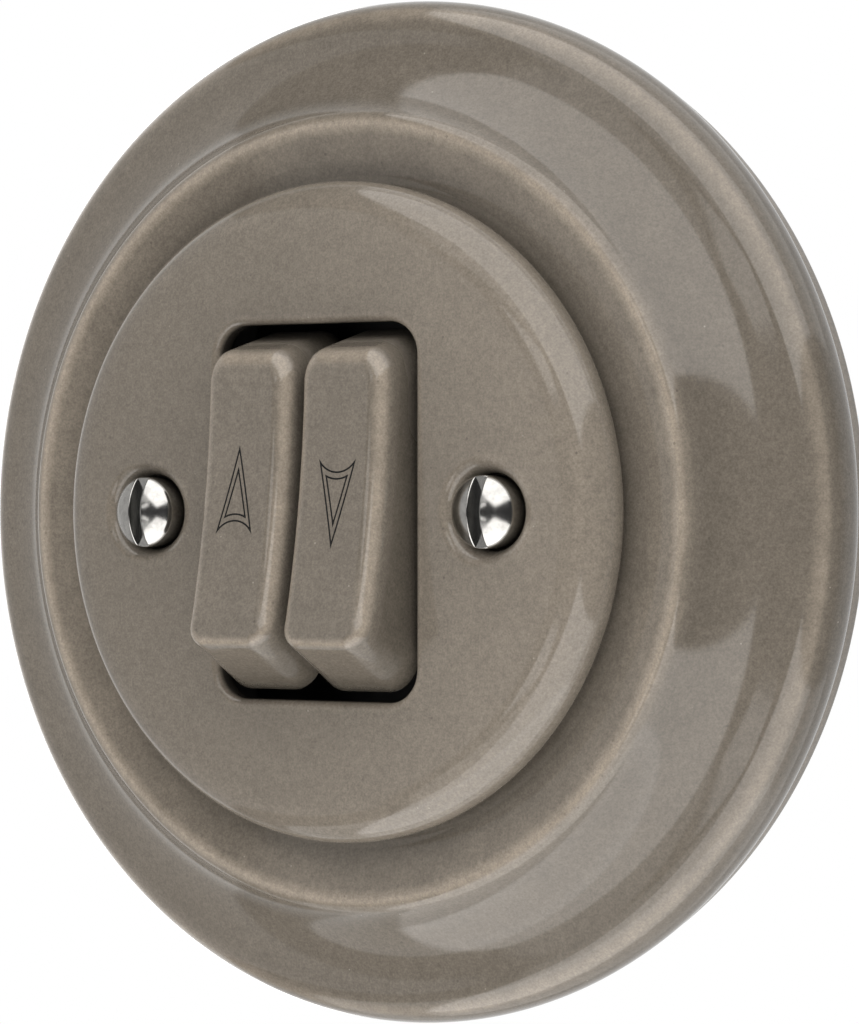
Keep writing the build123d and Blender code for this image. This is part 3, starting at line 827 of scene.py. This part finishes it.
class Nodes:
    """Short ways to add shader nodes to one material or world."""

    def __init__(self, owner, shader="Principled BSDF", coordinates="Object"):
        owner.use_nodes = True
        self.owner = owner
        self.tree = owner.node_tree
        self.shader = self.tree.nodes[shader]
        self.place = self.add("ShaderNodeTexCoord").outputs[coordinates]

    def add(self, kind, **values):
        """A node with some of its properties set."""
        node = self.tree.nodes.new(kind)
        for key, value in values.items():
            setattr(node, key, value)
        return node

    def put(self, socket, value):
        """Links an output to a socket, or sets the socket's own value."""
        if isinstance(value, bpy.types.NodeSocket):
            self.tree.links.new(value, socket)
        else:
            socket.default_value = value

    def noise(self, scale, detail=3.0, roughness=0.55, stretch=None):
        """Cloudy noise on object coordinates, with the scale in cycles per metre."""
        node = self.add("ShaderNodeTexNoise")
        place = self.place
        if stretch:
            mapping = self.add("ShaderNodeMapping")
            self.put(mapping.inputs["Vector"], place)
            mapping.inputs["Scale"].default_value = stretch
            place = mapping.outputs["Vector"]
        self.put(node.inputs["Vector"], place)
        node.inputs["Scale"].default_value = scale
        node.inputs["Detail"].default_value = detail
        node.inputs["Roughness"].default_value = roughness
        return node.outputs["Fac"]

    def specks(self, scale, size, share, strength):
        """Round specks: cells of the given scale, of which a share hold a speck of the given size."""
        cells = self.add("ShaderNodeTexVoronoi")
        self.put(cells.inputs["Vector"], self.place)
        cells.inputs["Scale"].default_value = scale
        spot = self.ramp(cells.outputs["Distance"], size * 0.5, size, 1.0, 0.0)
        tint = self.add("ShaderNodeSeparateColor")
        self.put(tint.inputs["Color"], cells.outputs["Color"])
        chosen = self.ramp(tint.outputs["Red"], 1 - share, 1 - share + 0.02, 0.0, 1.0)
        return self.maths("MULTIPLY", self.maths("MULTIPLY", spot, chosen), strength)

    def ramp(self, value, low, high, at_low, at_high, shape="SMOOTHSTEP"):
        """A smooth or straight step of a value from one number to another."""
        node = self.add("ShaderNodeMapRange", interpolation_type=shape)
        self.put(node.inputs["Value"], value)
        numbers = {"From Min": low, "From Max": high, "To Min": at_low, "To Max": at_high}
        for socket, number in numbers.items():
            node.inputs[socket].default_value = number
        return node.outputs["Result"]

    def maths(self, operation, first, second):
        """A sum, product or other operation of two values."""
        node = self.add("ShaderNodeMath", operation=operation)
        self.put(node.inputs[0], first)
        self.put(node.inputs[1], second)
        return node.outputs["Value"]

    def between(self, share, first, second):
        """A mix of two numbers."""
        node = self.add("ShaderNodeMix")
        for socket, value in (("Factor", share), ("A", first), ("B", second)):
            self.put(node.inputs[socket], value)
        return node.outputs["Result"]

    def mix(self, share, first, second, blend="MIX"):
        """A mix of two colours."""
        node = self.add("ShaderNodeMix", data_type="RGBA", blend_type=blend)
        self.put(node.inputs["Factor"], share)
        for socket, value in ((node.inputs[6], first), (node.inputs[7], second)):
            self.put(socket, value if isinstance(value, bpy.types.NodeSocket) else (*value, 1.0))
        return node.outputs[2]

    def scaled(self, base, amount):
        """A colour made lighter or darker by an amount."""
        grey = self.add("ShaderNodeCombineColor")
        for channel in ("Red", "Green", "Blue"):
            self.put(grey.inputs[channel], amount)
        return self.mix(1.0, base, grey.outputs["Color"], "MULTIPLY")

    def tinted(self, base, tone, low, high):
        """A colour whose lightness follows a noise."""
        return self.scaled(base, self.ramp(tone, *GRAIN, low, high))

    def axis(self, name):
        """One of the coordinates."""
        node = self.add("ShaderNodeSeparateXYZ")
        self.put(node.inputs[0], self.place)
        return node.outputs[name]

    def reach(self):
        """The distance from the origin."""
        node = self.add("ShaderNodeVectorMath", operation="LENGTH")
        self.put(node.inputs[0], self.place)
        return node.outputs["Value"]

    def attribute(self, name):
        """A value kept with the piece's points."""
        return self.add("ShaderNodeAttribute", attribute_name=name).outputs["Fac"]

    def bump(self, height, depth, before=None):
        """A normal from a height, with the depth in metres."""
        node = self.add("ShaderNodeBump")
        node.inputs["Strength"].default_value = 1.0
        node.inputs["Distance"].default_value = depth
        self.put(node.inputs["Height"], height)
        if before is not None:
            self.put(node.inputs["Normal"], before)
        return node.outputs["Normal"]

    def finish(self, **values):
        """Sets the shader's inputs by name and returns the material or world."""
        for key, value in values.items():
            self.put(self.shader.inputs[key.replace("_", " ")], value)
        return self.owner


# Cycles per metre and depth of the glaze's mottle, from broad clouds to fine grain
GLAZE_MOTTLE = ((300.0, 0.03), (900.0, 0.05), (2300.0, 0.095), (5000.0, 0.145))
# Cells per metre, size in a cell, share of cells and strength of the specks
DARK_SPECKS = (760.0, 0.13, 0.14, 0.40)
LIGHT_SPECKS = (900.0, 0.10, 0.08, 0.40)


def glaze_finish(name="glaze_taupe", run=0.0):
    """Taupe glaze: lighter where it thins over edges, darker in hollows, mottled, speckled and uneven.

    The thin and hollow tones are partly painted light and shade, and wells are painted dark as shade. A
    run above nought makes it lighter towards +X and the rim, as painted light from the lamps on the right.
    """
    if name in bpy.data.materials:
        return bpy.data.materials[name]
    finish = settings().finish
    n = Nodes(bpy.data.materials.new(name))
    bare, deep, dull = (n.attribute(key) for key in ("bare", "deep", "dull"))
    uneven = n.maths("ADD", n.attribute("edge"), n.ramp(n.noise(260.0), *CLOUDS, -0.06, 0.06))
    # Lighter towards the thin colour and darker towards the pooled colour: partly the glaze, partly painted
    # light and shade
    base = n.mix(n.ramp(uneven, 0.0, 1.0, 0.0, 1.0), finish.glaze, finish.thin_glaze_and_painted_light)
    base = n.mix(n.ramp(uneven, 0.0, -1.0, 0.0, 1.0), base, finish.glaze_pool_and_shade)
    # Painted light: lighter towards +X and towards the rim, standing in for the lamps on the right
    if run:
        edge = settings().cover.radius
        base = n.scaled(base, n.ramp(n.axis("X"), -edge, edge, 1 - 0.4 * run, 1 + run))
        base = n.scaled(base, n.ramp(n.reach(), 0.7 * edge, 1.1 * edge, 1.0, 1 + 0.5 * run))
    for scale, depth in GLAZE_MOTTLE:
        base = n.tinted(base, n.noise(scale, 2.0, 0.6), 1 - depth, 1 + depth)
    base = n.mix(n.specks(*DARK_SPECKS), base, finish.dark_specks)
    base = n.mix(n.specks(*LIGHT_SPECKS), base, finish.light_specks)
    # Painted shade: wells are painted near black
    base = n.mix(deep, base, finish.painted_well_shade)
    base = n.mix(bare, base, n.tinted(finish.bisque, n.noise(2400.0, 4.0, 0.7), 0.9, 1.08))
    gloss = n.ramp(n.noise(700.0), *CLOUDS, 0.08, 0.12)
    worn = n.ramp(uneven, 0.3, 0.9, 0.0, 0.06)
    rough = n.maths("ADD", n.maths("ADD", gloss, worn), n.maths("MULTIPLY", bare, 0.55))
    rough = n.maths("ADD", rough, dull)
    swell = n.bump(n.noise(190.0, 2.0, 0.5), 0.006 * MM)
    fine = n.bump(n.noise(2600.0, 2.0, 0.5), 0.0006 * MM, swell)
    shine = n.ramp(n.maths("MAXIMUM", deep, dull), 0.2, 1.0, 0.5, 0.05)
    return n.finish(Base_Color=base, Roughness=rough, Normal=fine, IOR=1.5, Specular_IOR_Level=shine)


def print_finish():
    """Fired-on black print with slightly broken, glossier tone."""
    n = Nodes(bpy.data.materials.new("fired_print"))
    shade = n.tinted(settings().finish.print_black, n.noise(6000.0), 0.7, 1.6)
    return n.finish(Base_Color=shade, Roughness=n.ramp(n.noise(3000.0), *CLOUDS, 0.30, 0.45), IOR=1.25)


METALS = {
    # Name: colour, roughness, depth and cycles per metre of the tone's patches, stretch of the marks
    "polished_chrome": ("chrome", 0.17, 0.14, 1200.0, (1.0, 1.0, 4.0)),
    # Painted shade: the support plate's zinc is made near black
    "painted_shade_black_zinc": ("plate", 0.42, 0.12, 240.0, (1.0, 4.0, 1.0)),
    "bright_zinc": ("zinc", 0.36, 0.10, 240.0, (1.0, 4.0, 1.0)),
    "drawn_steel": ("steel", 0.30, 0.08, 600.0, (6.0, 1.0, 1.0)),
    "plain_brass": ("brass", 0.28, 0.10, 420.0, (1.0, 5.0, 1.0)),
}
MOULDINGS = {
    # Name: colour and roughness
    "pressed_grey": ("grey_moulding", 0.46),
    "pressed_black": ("black_moulding", 0.38),
}


def metal_finish(name):
    """Bare or plated metal with patchy tone, and drawing or tumbling marks that are nine times finer."""
    base, rough, tone, scale, stretch = METALS[name]
    n = Nodes(bpy.data.materials.new(name))
    patches = n.noise(scale, 4.0, 0.6)
    marks = n.noise(scale * 9, 3.0, 0.6, stretch)
    return n.finish(
        Base_Color=n.tinted(getattr(settings().finish, base), patches, 1 - tone, 1 + tone),
        Metallic=1.0,
        Roughness=n.ramp(marks, *GRAIN, rough * 0.75, rough * 1.3),
        Normal=n.bump(marks, 0.0015 * MM),
    )


def moulding_finish(name):
    """Pressed thermoset: faint flow marks, a fine eroded texture and worn, slightly shinier high spots."""
    base, rough = MOULDINGS[name]
    n = Nodes(bpy.data.materials.new(name))
    flow_marks = n.noise(420.0, 4.0, 0.65, (1.0, 0.35, 1.0))
    shade = n.tinted(getattr(settings().finish, base), flow_marks, 0.955, 1.045)
    return n.finish(
        Base_Color=n.tinted(shade, n.noise(3000.0, 2.0), 0.94, 1.06),
        Roughness=n.ramp(n.noise(900.0), *CLOUDS, rough * 0.85, rough * 1.15),
        Normal=n.bump(n.noise(5200.0, 3.0, 0.65), 0.012 * MM),
        IOR=1.5,
    )


def dress(material, names):
    """Gives CAD nodes a finish in place of their packed one."""
    for name in names:
        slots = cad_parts[name].data.materials
        slots.clear()
        slots.append(material)


class PORCELAIN_OT_frame_ring(bpy.types.Operator):
    """Turn the frame ring's section into its glazed body"""

    bl_idname = "porcelain.frame_ring"
    bl_label = "Frame ring"

    def execute(self, context):
        path = ring_path()
        bare = np.where(path[:, 1] < settings().ring.foot_bare, 1.0, 0.0)
        values = all_round(RING_STEPS, edge=ring_glaze(path), bare=bare)
        body = (*turned(path, RING_STEPS, closed=True), values)
        new_piece("glazed_ring", [body], glaze_finish(), "switch", ["frame_ring"])
        return {"FINISHED"}


class PORCELAIN_OT_cover_plate(bpy.types.Operator):
    """Build the glazed cover with its rounded window and screw recesses"""

    bl_idname = "porcelain.cover_plate"
    bl_label = "Cover plate"

    def execute(self, context):
        glaze = glaze_finish("glaze_taupe_cover", settings().cover.painted_light_slant)
        new_piece("glazed_cover", cover_surfaces(), glaze, "switch", ["cover_plate"])
        return {"FINISHED"}


class PORCELAIN_OT_keys(bpy.types.Operator):
    """Build the dished keys"""

    bl_idname = "porcelain.keys"
    bl_label = "Keys"

    def execute(self, context):
        for name, side in (("up", -1), ("down", 1)):
            body, node = f"{name}_key", f"key_{name}"
            new_piece(f"glazed_key_{name}", [key_surface(side)], glaze_finish(), body, [node])
        return {"FINISHED"}


class PORCELAIN_OT_signs(bpy.types.Operator):
    """Print the arrows on the keys"""

    bl_idname = "porcelain.signs"
    bl_label = "Arrows"

    def execute(self, context):
        sign = settings().sign
        outer = sign_outline(sign.tip, sign.base, sign.half_width, sign.base_arc)
        inner = sign_outline(sign.inner_tip, sign.inner_base, sign.inner_half_width, sign.inner_base_arc)
        ink = print_finish()
        for name, side, shift, turn in (("up", -1, sign.up_shift, 1.0), ("down", 1, sign.down_shift, -1.0)):
            lines = [printed_line(outline, shift, side, turn) for outline in (outer, inner)]
            new_piece(f"arrow_{name}", lines, ink, f"{name}_key", weld=PRINT_WELD)
        return {"FINISHED"}


class PORCELAIN_OT_screws(bpy.types.Operator):
    """Build the slotted screws of the cover"""

    bl_idname = "porcelain.screws"
    bl_label = "Screws"

    def execute(self, context):
        screw = settings().screw
        pair = [slotted_screw(screw.shift + hand * screw.pitch / 2) for hand in (-1, 1)]
        chrome = metal_finish("polished_chrome")
        new_piece("chrome_screws", sum(pair, []), chrome, "switch", ["cover_screws"])
        return {"FINISHED"}


class PORCELAIN_OT_insert(bpy.types.Operator):
    """Give the insert behind the cover its plated, brass and moulded finishes"""

    bl_idname = "porcelain.insert"
    bl_label = "Insert"

    def execute(self, context):
        contacts = ("feed_contact", "link_contact", "up_contact", "down_contact", "blade_up", "blade_down")
        moving = ("rocker_up", "rocker_down", "plunger_up", "plunger_down")
        # Painted shade: the support plate is near black
        dress(metal_finish("painted_shade_black_zinc"), ["support_plate"])
        dress(metal_finish("bright_zinc"), ["housing_screws", "terminal_screws"])
        dress(metal_finish("drawn_steel"), ["axle_pin", "plunger_spring_up", "plunger_spring_down"])
        dress(metal_finish("plain_brass"), ["screw_posts", "terminal_cages", *contacts])
        dress(moulding_finish("pressed_grey"), ["housing_base"])
        dress(moulding_finish("pressed_black"), ["housing", *moving])
        return {"FINISHED"}


# Stage

# Ends of the sloping panels' section, to the right and up, the front of the panels, and how near they come
SLOPE_LOW = (1.0, 0.56)
SLOPE_HIGH = (-1.305, 2.558)
FRONT = -2.7
BACK = 0.9
NEAR = 0.40


def slope(start, end):
    """Outline of a sloping panel on the right, between two distances in front of and behind the object."""
    (x0, z0), (x1, z1) = SLOPE_LOW, SLOPE_HIGH
    return ((x0, start, z0), (x0, end, z0), (x1, end, z1), (x1, start, z1))


def upright(start, end, facing, half_height):
    """Outline of an upright panel a metre away, between two azimuths in degrees."""
    ends = [(sin(radians(a)), -cos(radians(a)), 1 / cos(radians(a - facing))) for a in (start, end)]
    (x0, y0), (x1, y1) = [(x * far, y * far) for x, y, far in ends]
    return ((x0, y0, -half_height), (x1, y1, -half_height), (x1, y1, half_height), (x0, y0, half_height))


def near(outline, hand):
    """An outline brought nearer, above the object (1) or mirrored below it (-1)."""
    return tuple((NEAR * x, NEAR * y, hand * NEAR * z) for x, y, z in outline)


WALL = ((0.323, FRONT, 1.147), (0.14, FRONT, 1.147), (-1.305, FRONT, 0.946), (-1.305, FRONT, 2.558))
STRIP = (
    (-0.403, -1.107, 0.229), (-0.287, -1.153, 0.167), (-0.020, -1.169, 0.270),
    (0.0, -1.128, 0.410), (-0.158, -1.127, 0.381), (-0.399, -1.096, 0.280),
)
LAMPS = (
    # Name, brightness setting and rectangle in metres
    ("upper_lamp", "upper_light", near(slope(FRONT, 0.0), 1)),
    ("lower_lamp", "lower_light", near(slope(FRONT, 0.0), -1)),
    ("upper_back_lamp", "back_light", near(slope(0.0, BACK), 1)),
    ("lower_back_lamp", "back_light", near(slope(0.0, BACK), -1)),
    ("left_lamp", "fill_light", upright(-31, -130, -82, 0.78)),
    ("rim_lamp", "rim_light", upright(-130, -142, -136, 0.40)),
)
SCREENS = (
    # Name, brightness setting and outline in metres
    ("upper_screen", "front_light", near(WALL, 1)),
    ("lower_screen", "front_light", near(WALL, -1)),
    ("upper_strip", "strip_light", STRIP),
    ("lower_strip", "strip_light", tuple((x, y, -z) for x, y, z in STRIP)),
)


def panel_lamp(name, brightness, outline):
    """A soft rectangular lamp that faces the object, with its brightness as seen from there."""
    corner, after, _, before = map(Vector, outline)
    along, across = after - corner, before - corner
    middle = corner + (along + across) / 2
    away = along.cross(across).normalized()
    if away.dot(middle) < 0:
        across, away = -across, -away
    lamp = bpy.data.lights.new(name, "AREA")
    lamp.shape = "RECTANGLE"
    lamp.size, lamp.size_y = along.length, across.length
    lamp.energy = brightness * pi * lamp.size * lamp.size_y
    lamp.color = settings().stage.light
    panel = bpy.data.objects.new(name, lamp)
    panel.location = middle
    panel.rotation_euler = Matrix((along.normalized(), across.normalized(), away)).transposed().to_euler()
    panel.visible_camera = False
    bpy.context.scene.collection.objects.link(panel)


def glowing_screen(name, brightness, outline):
    """A flat glowing screen of any outline, unseen by the camera, with its brightness as seen."""
    glow = Nodes(bpy.data.materials.new(name)).finish(
        Base_Color=(0, 0, 0, 1),
        Specular_IOR_Level=0.0,
        Emission_Color=(*settings().stage.light, 1),
        Emission_Strength=brightness,
    )
    mesh = bpy.data.meshes.new(name)
    mesh.from_pydata(outline, [], [range(len(outline))])
    mesh.materials.append(glow)
    screen = bpy.data.objects.new(name, mesh)
    screen.visible_camera = False
    screen.visible_shadow = False
    bpy.context.scene.collection.objects.link(screen)


# Where the room turns from dark to the white background in reflections, as a share of the way to the back
BACKGROUND_SPAN = (0.1, 0.6)


def studio_world():
    """A room with a white background for the camera, and for reflections where they look to the back.

    Elsewhere reflections see it dark, between the panels, and matt surfaces see it even.
    """
    stage = settings().stage
    world = bpy.data.worlds.new("studio_room")
    bpy.context.scene.world = world
    n = Nodes(world, "Background", "Generated")
    ray = n.add("ShaderNodeLightPath").outputs
    back = n.ramp(n.axis("Y"), *BACKGROUND_SPAN, stage.dark, stage.behind, "LINEAR")
    shine = n.between(ray["Is Glossy Ray"], stage.room, back)
    through = n.maths("MAXIMUM", ray["Is Camera Ray"], ray["Is Transmission Ray"])
    n.finish(Color=(1, 1, 1, 1), Strength=n.between(through, shine, 1.0))


# Distances from the object, in drops of the floor, between which the floor fades to white
FLOOR_FADE = (1.1, 1.34)
FLOOR_RINGS = 39


def floor_finish():
    """Pale floor that fades to white away from the object."""
    stage = settings().stage
    n = Nodes(bpy.data.materials.new("pale_floor"))
    start, end = (share * stage.floor_drop for share in FLOOR_FADE)
    ray = n.add("ShaderNodeLightPath").outputs
    through = n.maths("MAXIMUM", ray["Is Glossy Ray"], ray["Is Transmission Ray"])
    shown = n.maths("MAXIMUM", ray["Is Camera Ray"], through)
    mix = n.add("ShaderNodeMixShader")
    n.put(mix.inputs[0], n.maths("MULTIPLY", n.ramp(n.reach(), start, end, 0.0, 1.0), shown))
    n.put(mix.inputs[1], n.shader.outputs[0])
    n.put(mix.inputs[2], n.add("ShaderNodeEmission").outputs[0])
    n.put(n.tree.nodes["Material Output"].inputs["Surface"], mix.outputs[0])
    return n.finish(Base_Color=n.tinted(stage.floor, n.noise(6.0), 0.985, 1.015), Roughness=0.8)


def pale_floor():
    """A flat disc below the object, of rings with evenly growing radius round a middle face."""
    stage = settings().stage
    radius = np.linspace(0.0, stage.floor_radius, FLOOR_RINGS + 1)[1:, None]
    turns = full_turn(FLOOR_STEPS)
    disc = np.broadcast_arrays(radius * np.cos(turns), radius * np.sin(turns), -stage.floor_drop)
    faces = grid_faces(FLOOR_RINGS, FLOOR_STEPS, False, True).tolist()
    mesh = bpy.data.meshes.new("pale_floor")
    mesh.from_pydata(np.stack(disc, axis=-1).reshape(-1, 3).tolist(), [], faces + [range(FLOOR_STEPS)[::-1]])
    mesh.materials.append(floor_finish())
    floor = bpy.data.objects.new("pale_floor", mesh)
    bpy.context.scene.collection.objects.link(floor)


class PORCELAIN_OT_stage(bpy.types.Operator):
    """Set up the camera, the soft panels, the room and the floor"""

    bl_idname = "porcelain.stage"
    bl_label = "Stage"

    def execute(self, context):
        scene, stage = context.scene, settings().stage
        scene.view_settings.view_transform = "Standard"
        lens = bpy.data.cameras.new("photo_camera")
        lens.lens = stage.lens
        lens.clip_start = 10 * MM
        camera = bpy.data.objects.new("photo_camera", lens)
        back = Vector((sin(stage.azimuth), -cos(stage.azimuth), 0.0))
        camera.location = Vector((stage.aim, 0.0, 0.0)) + back * stage.distance
        camera.rotation_euler = (pi / 2, 0.0, stage.azimuth)
        scene.collection.objects.link(camera)
        scene.camera = camera
        for name, light, outline in LAMPS:
            panel_lamp(name, getattr(stage, light), outline)
        for name, light, outline in SCREENS:
            glowing_screen(name, getattr(stage, light), outline)
        studio_world()
        pale_floor()
        return {"FINISHED"}


STEPS = (
    PORCELAIN_OT_stage,
    PORCELAIN_OT_frame_ring,
    PORCELAIN_OT_cover_plate,
    PORCELAIN_OT_keys,
    PORCELAIN_OT_signs,
    PORCELAIN_OT_screws,
    PORCELAIN_OT_insert,
)


class PORCELAIN_PT_panel(bpy.types.Panel):
    """Lists the switch's pieces and their settings"""

    bl_label = "Blind switch"
    bl_space_type = "VIEW_3D"
    bl_region_type = "UI"
    bl_category = "Blind switch"

    def draw(self, context):
        for step in STEPS:
            self.layout.operator(step.bl_idname)
        for group in SwitchSettings.__annotations__:
            box = self.layout.box()
            box.label(text=group.capitalize())
            values = getattr(settings(), group)
            for name in values.__annotations__:
                box.prop(values, name)


CLASSES = (
    RingSizes,
    CoverSizes,
    KeySizes,
    SignSizes,
    ScrewSizes,
    FinishColours,
    StageSettings,
    SwitchSettings,
    *STEPS,
    PORCELAIN_PT_panel,
)


def register():
    """Adds the classes and the scene's settings."""
    for item in CLASSES:
        bpy.utils.register_class(item)
    bpy.types.Scene.blind_switch = bpy.props.PointerProperty(type=SwitchSettings)


def unregister():
    """Removes the scene's settings and the classes."""
    del bpy.types.Scene.blind_switch
    for item in reversed(CLASSES):
        bpy.utils.unregister_class(item)


def main():
    """Builds the switch step by step."""
    register()
    for step in STEPS:
        group, name = step.bl_idname.split(".")
        getattr(getattr(bpy.ops, group), name)()


if __name__ == "__main__":
    main()
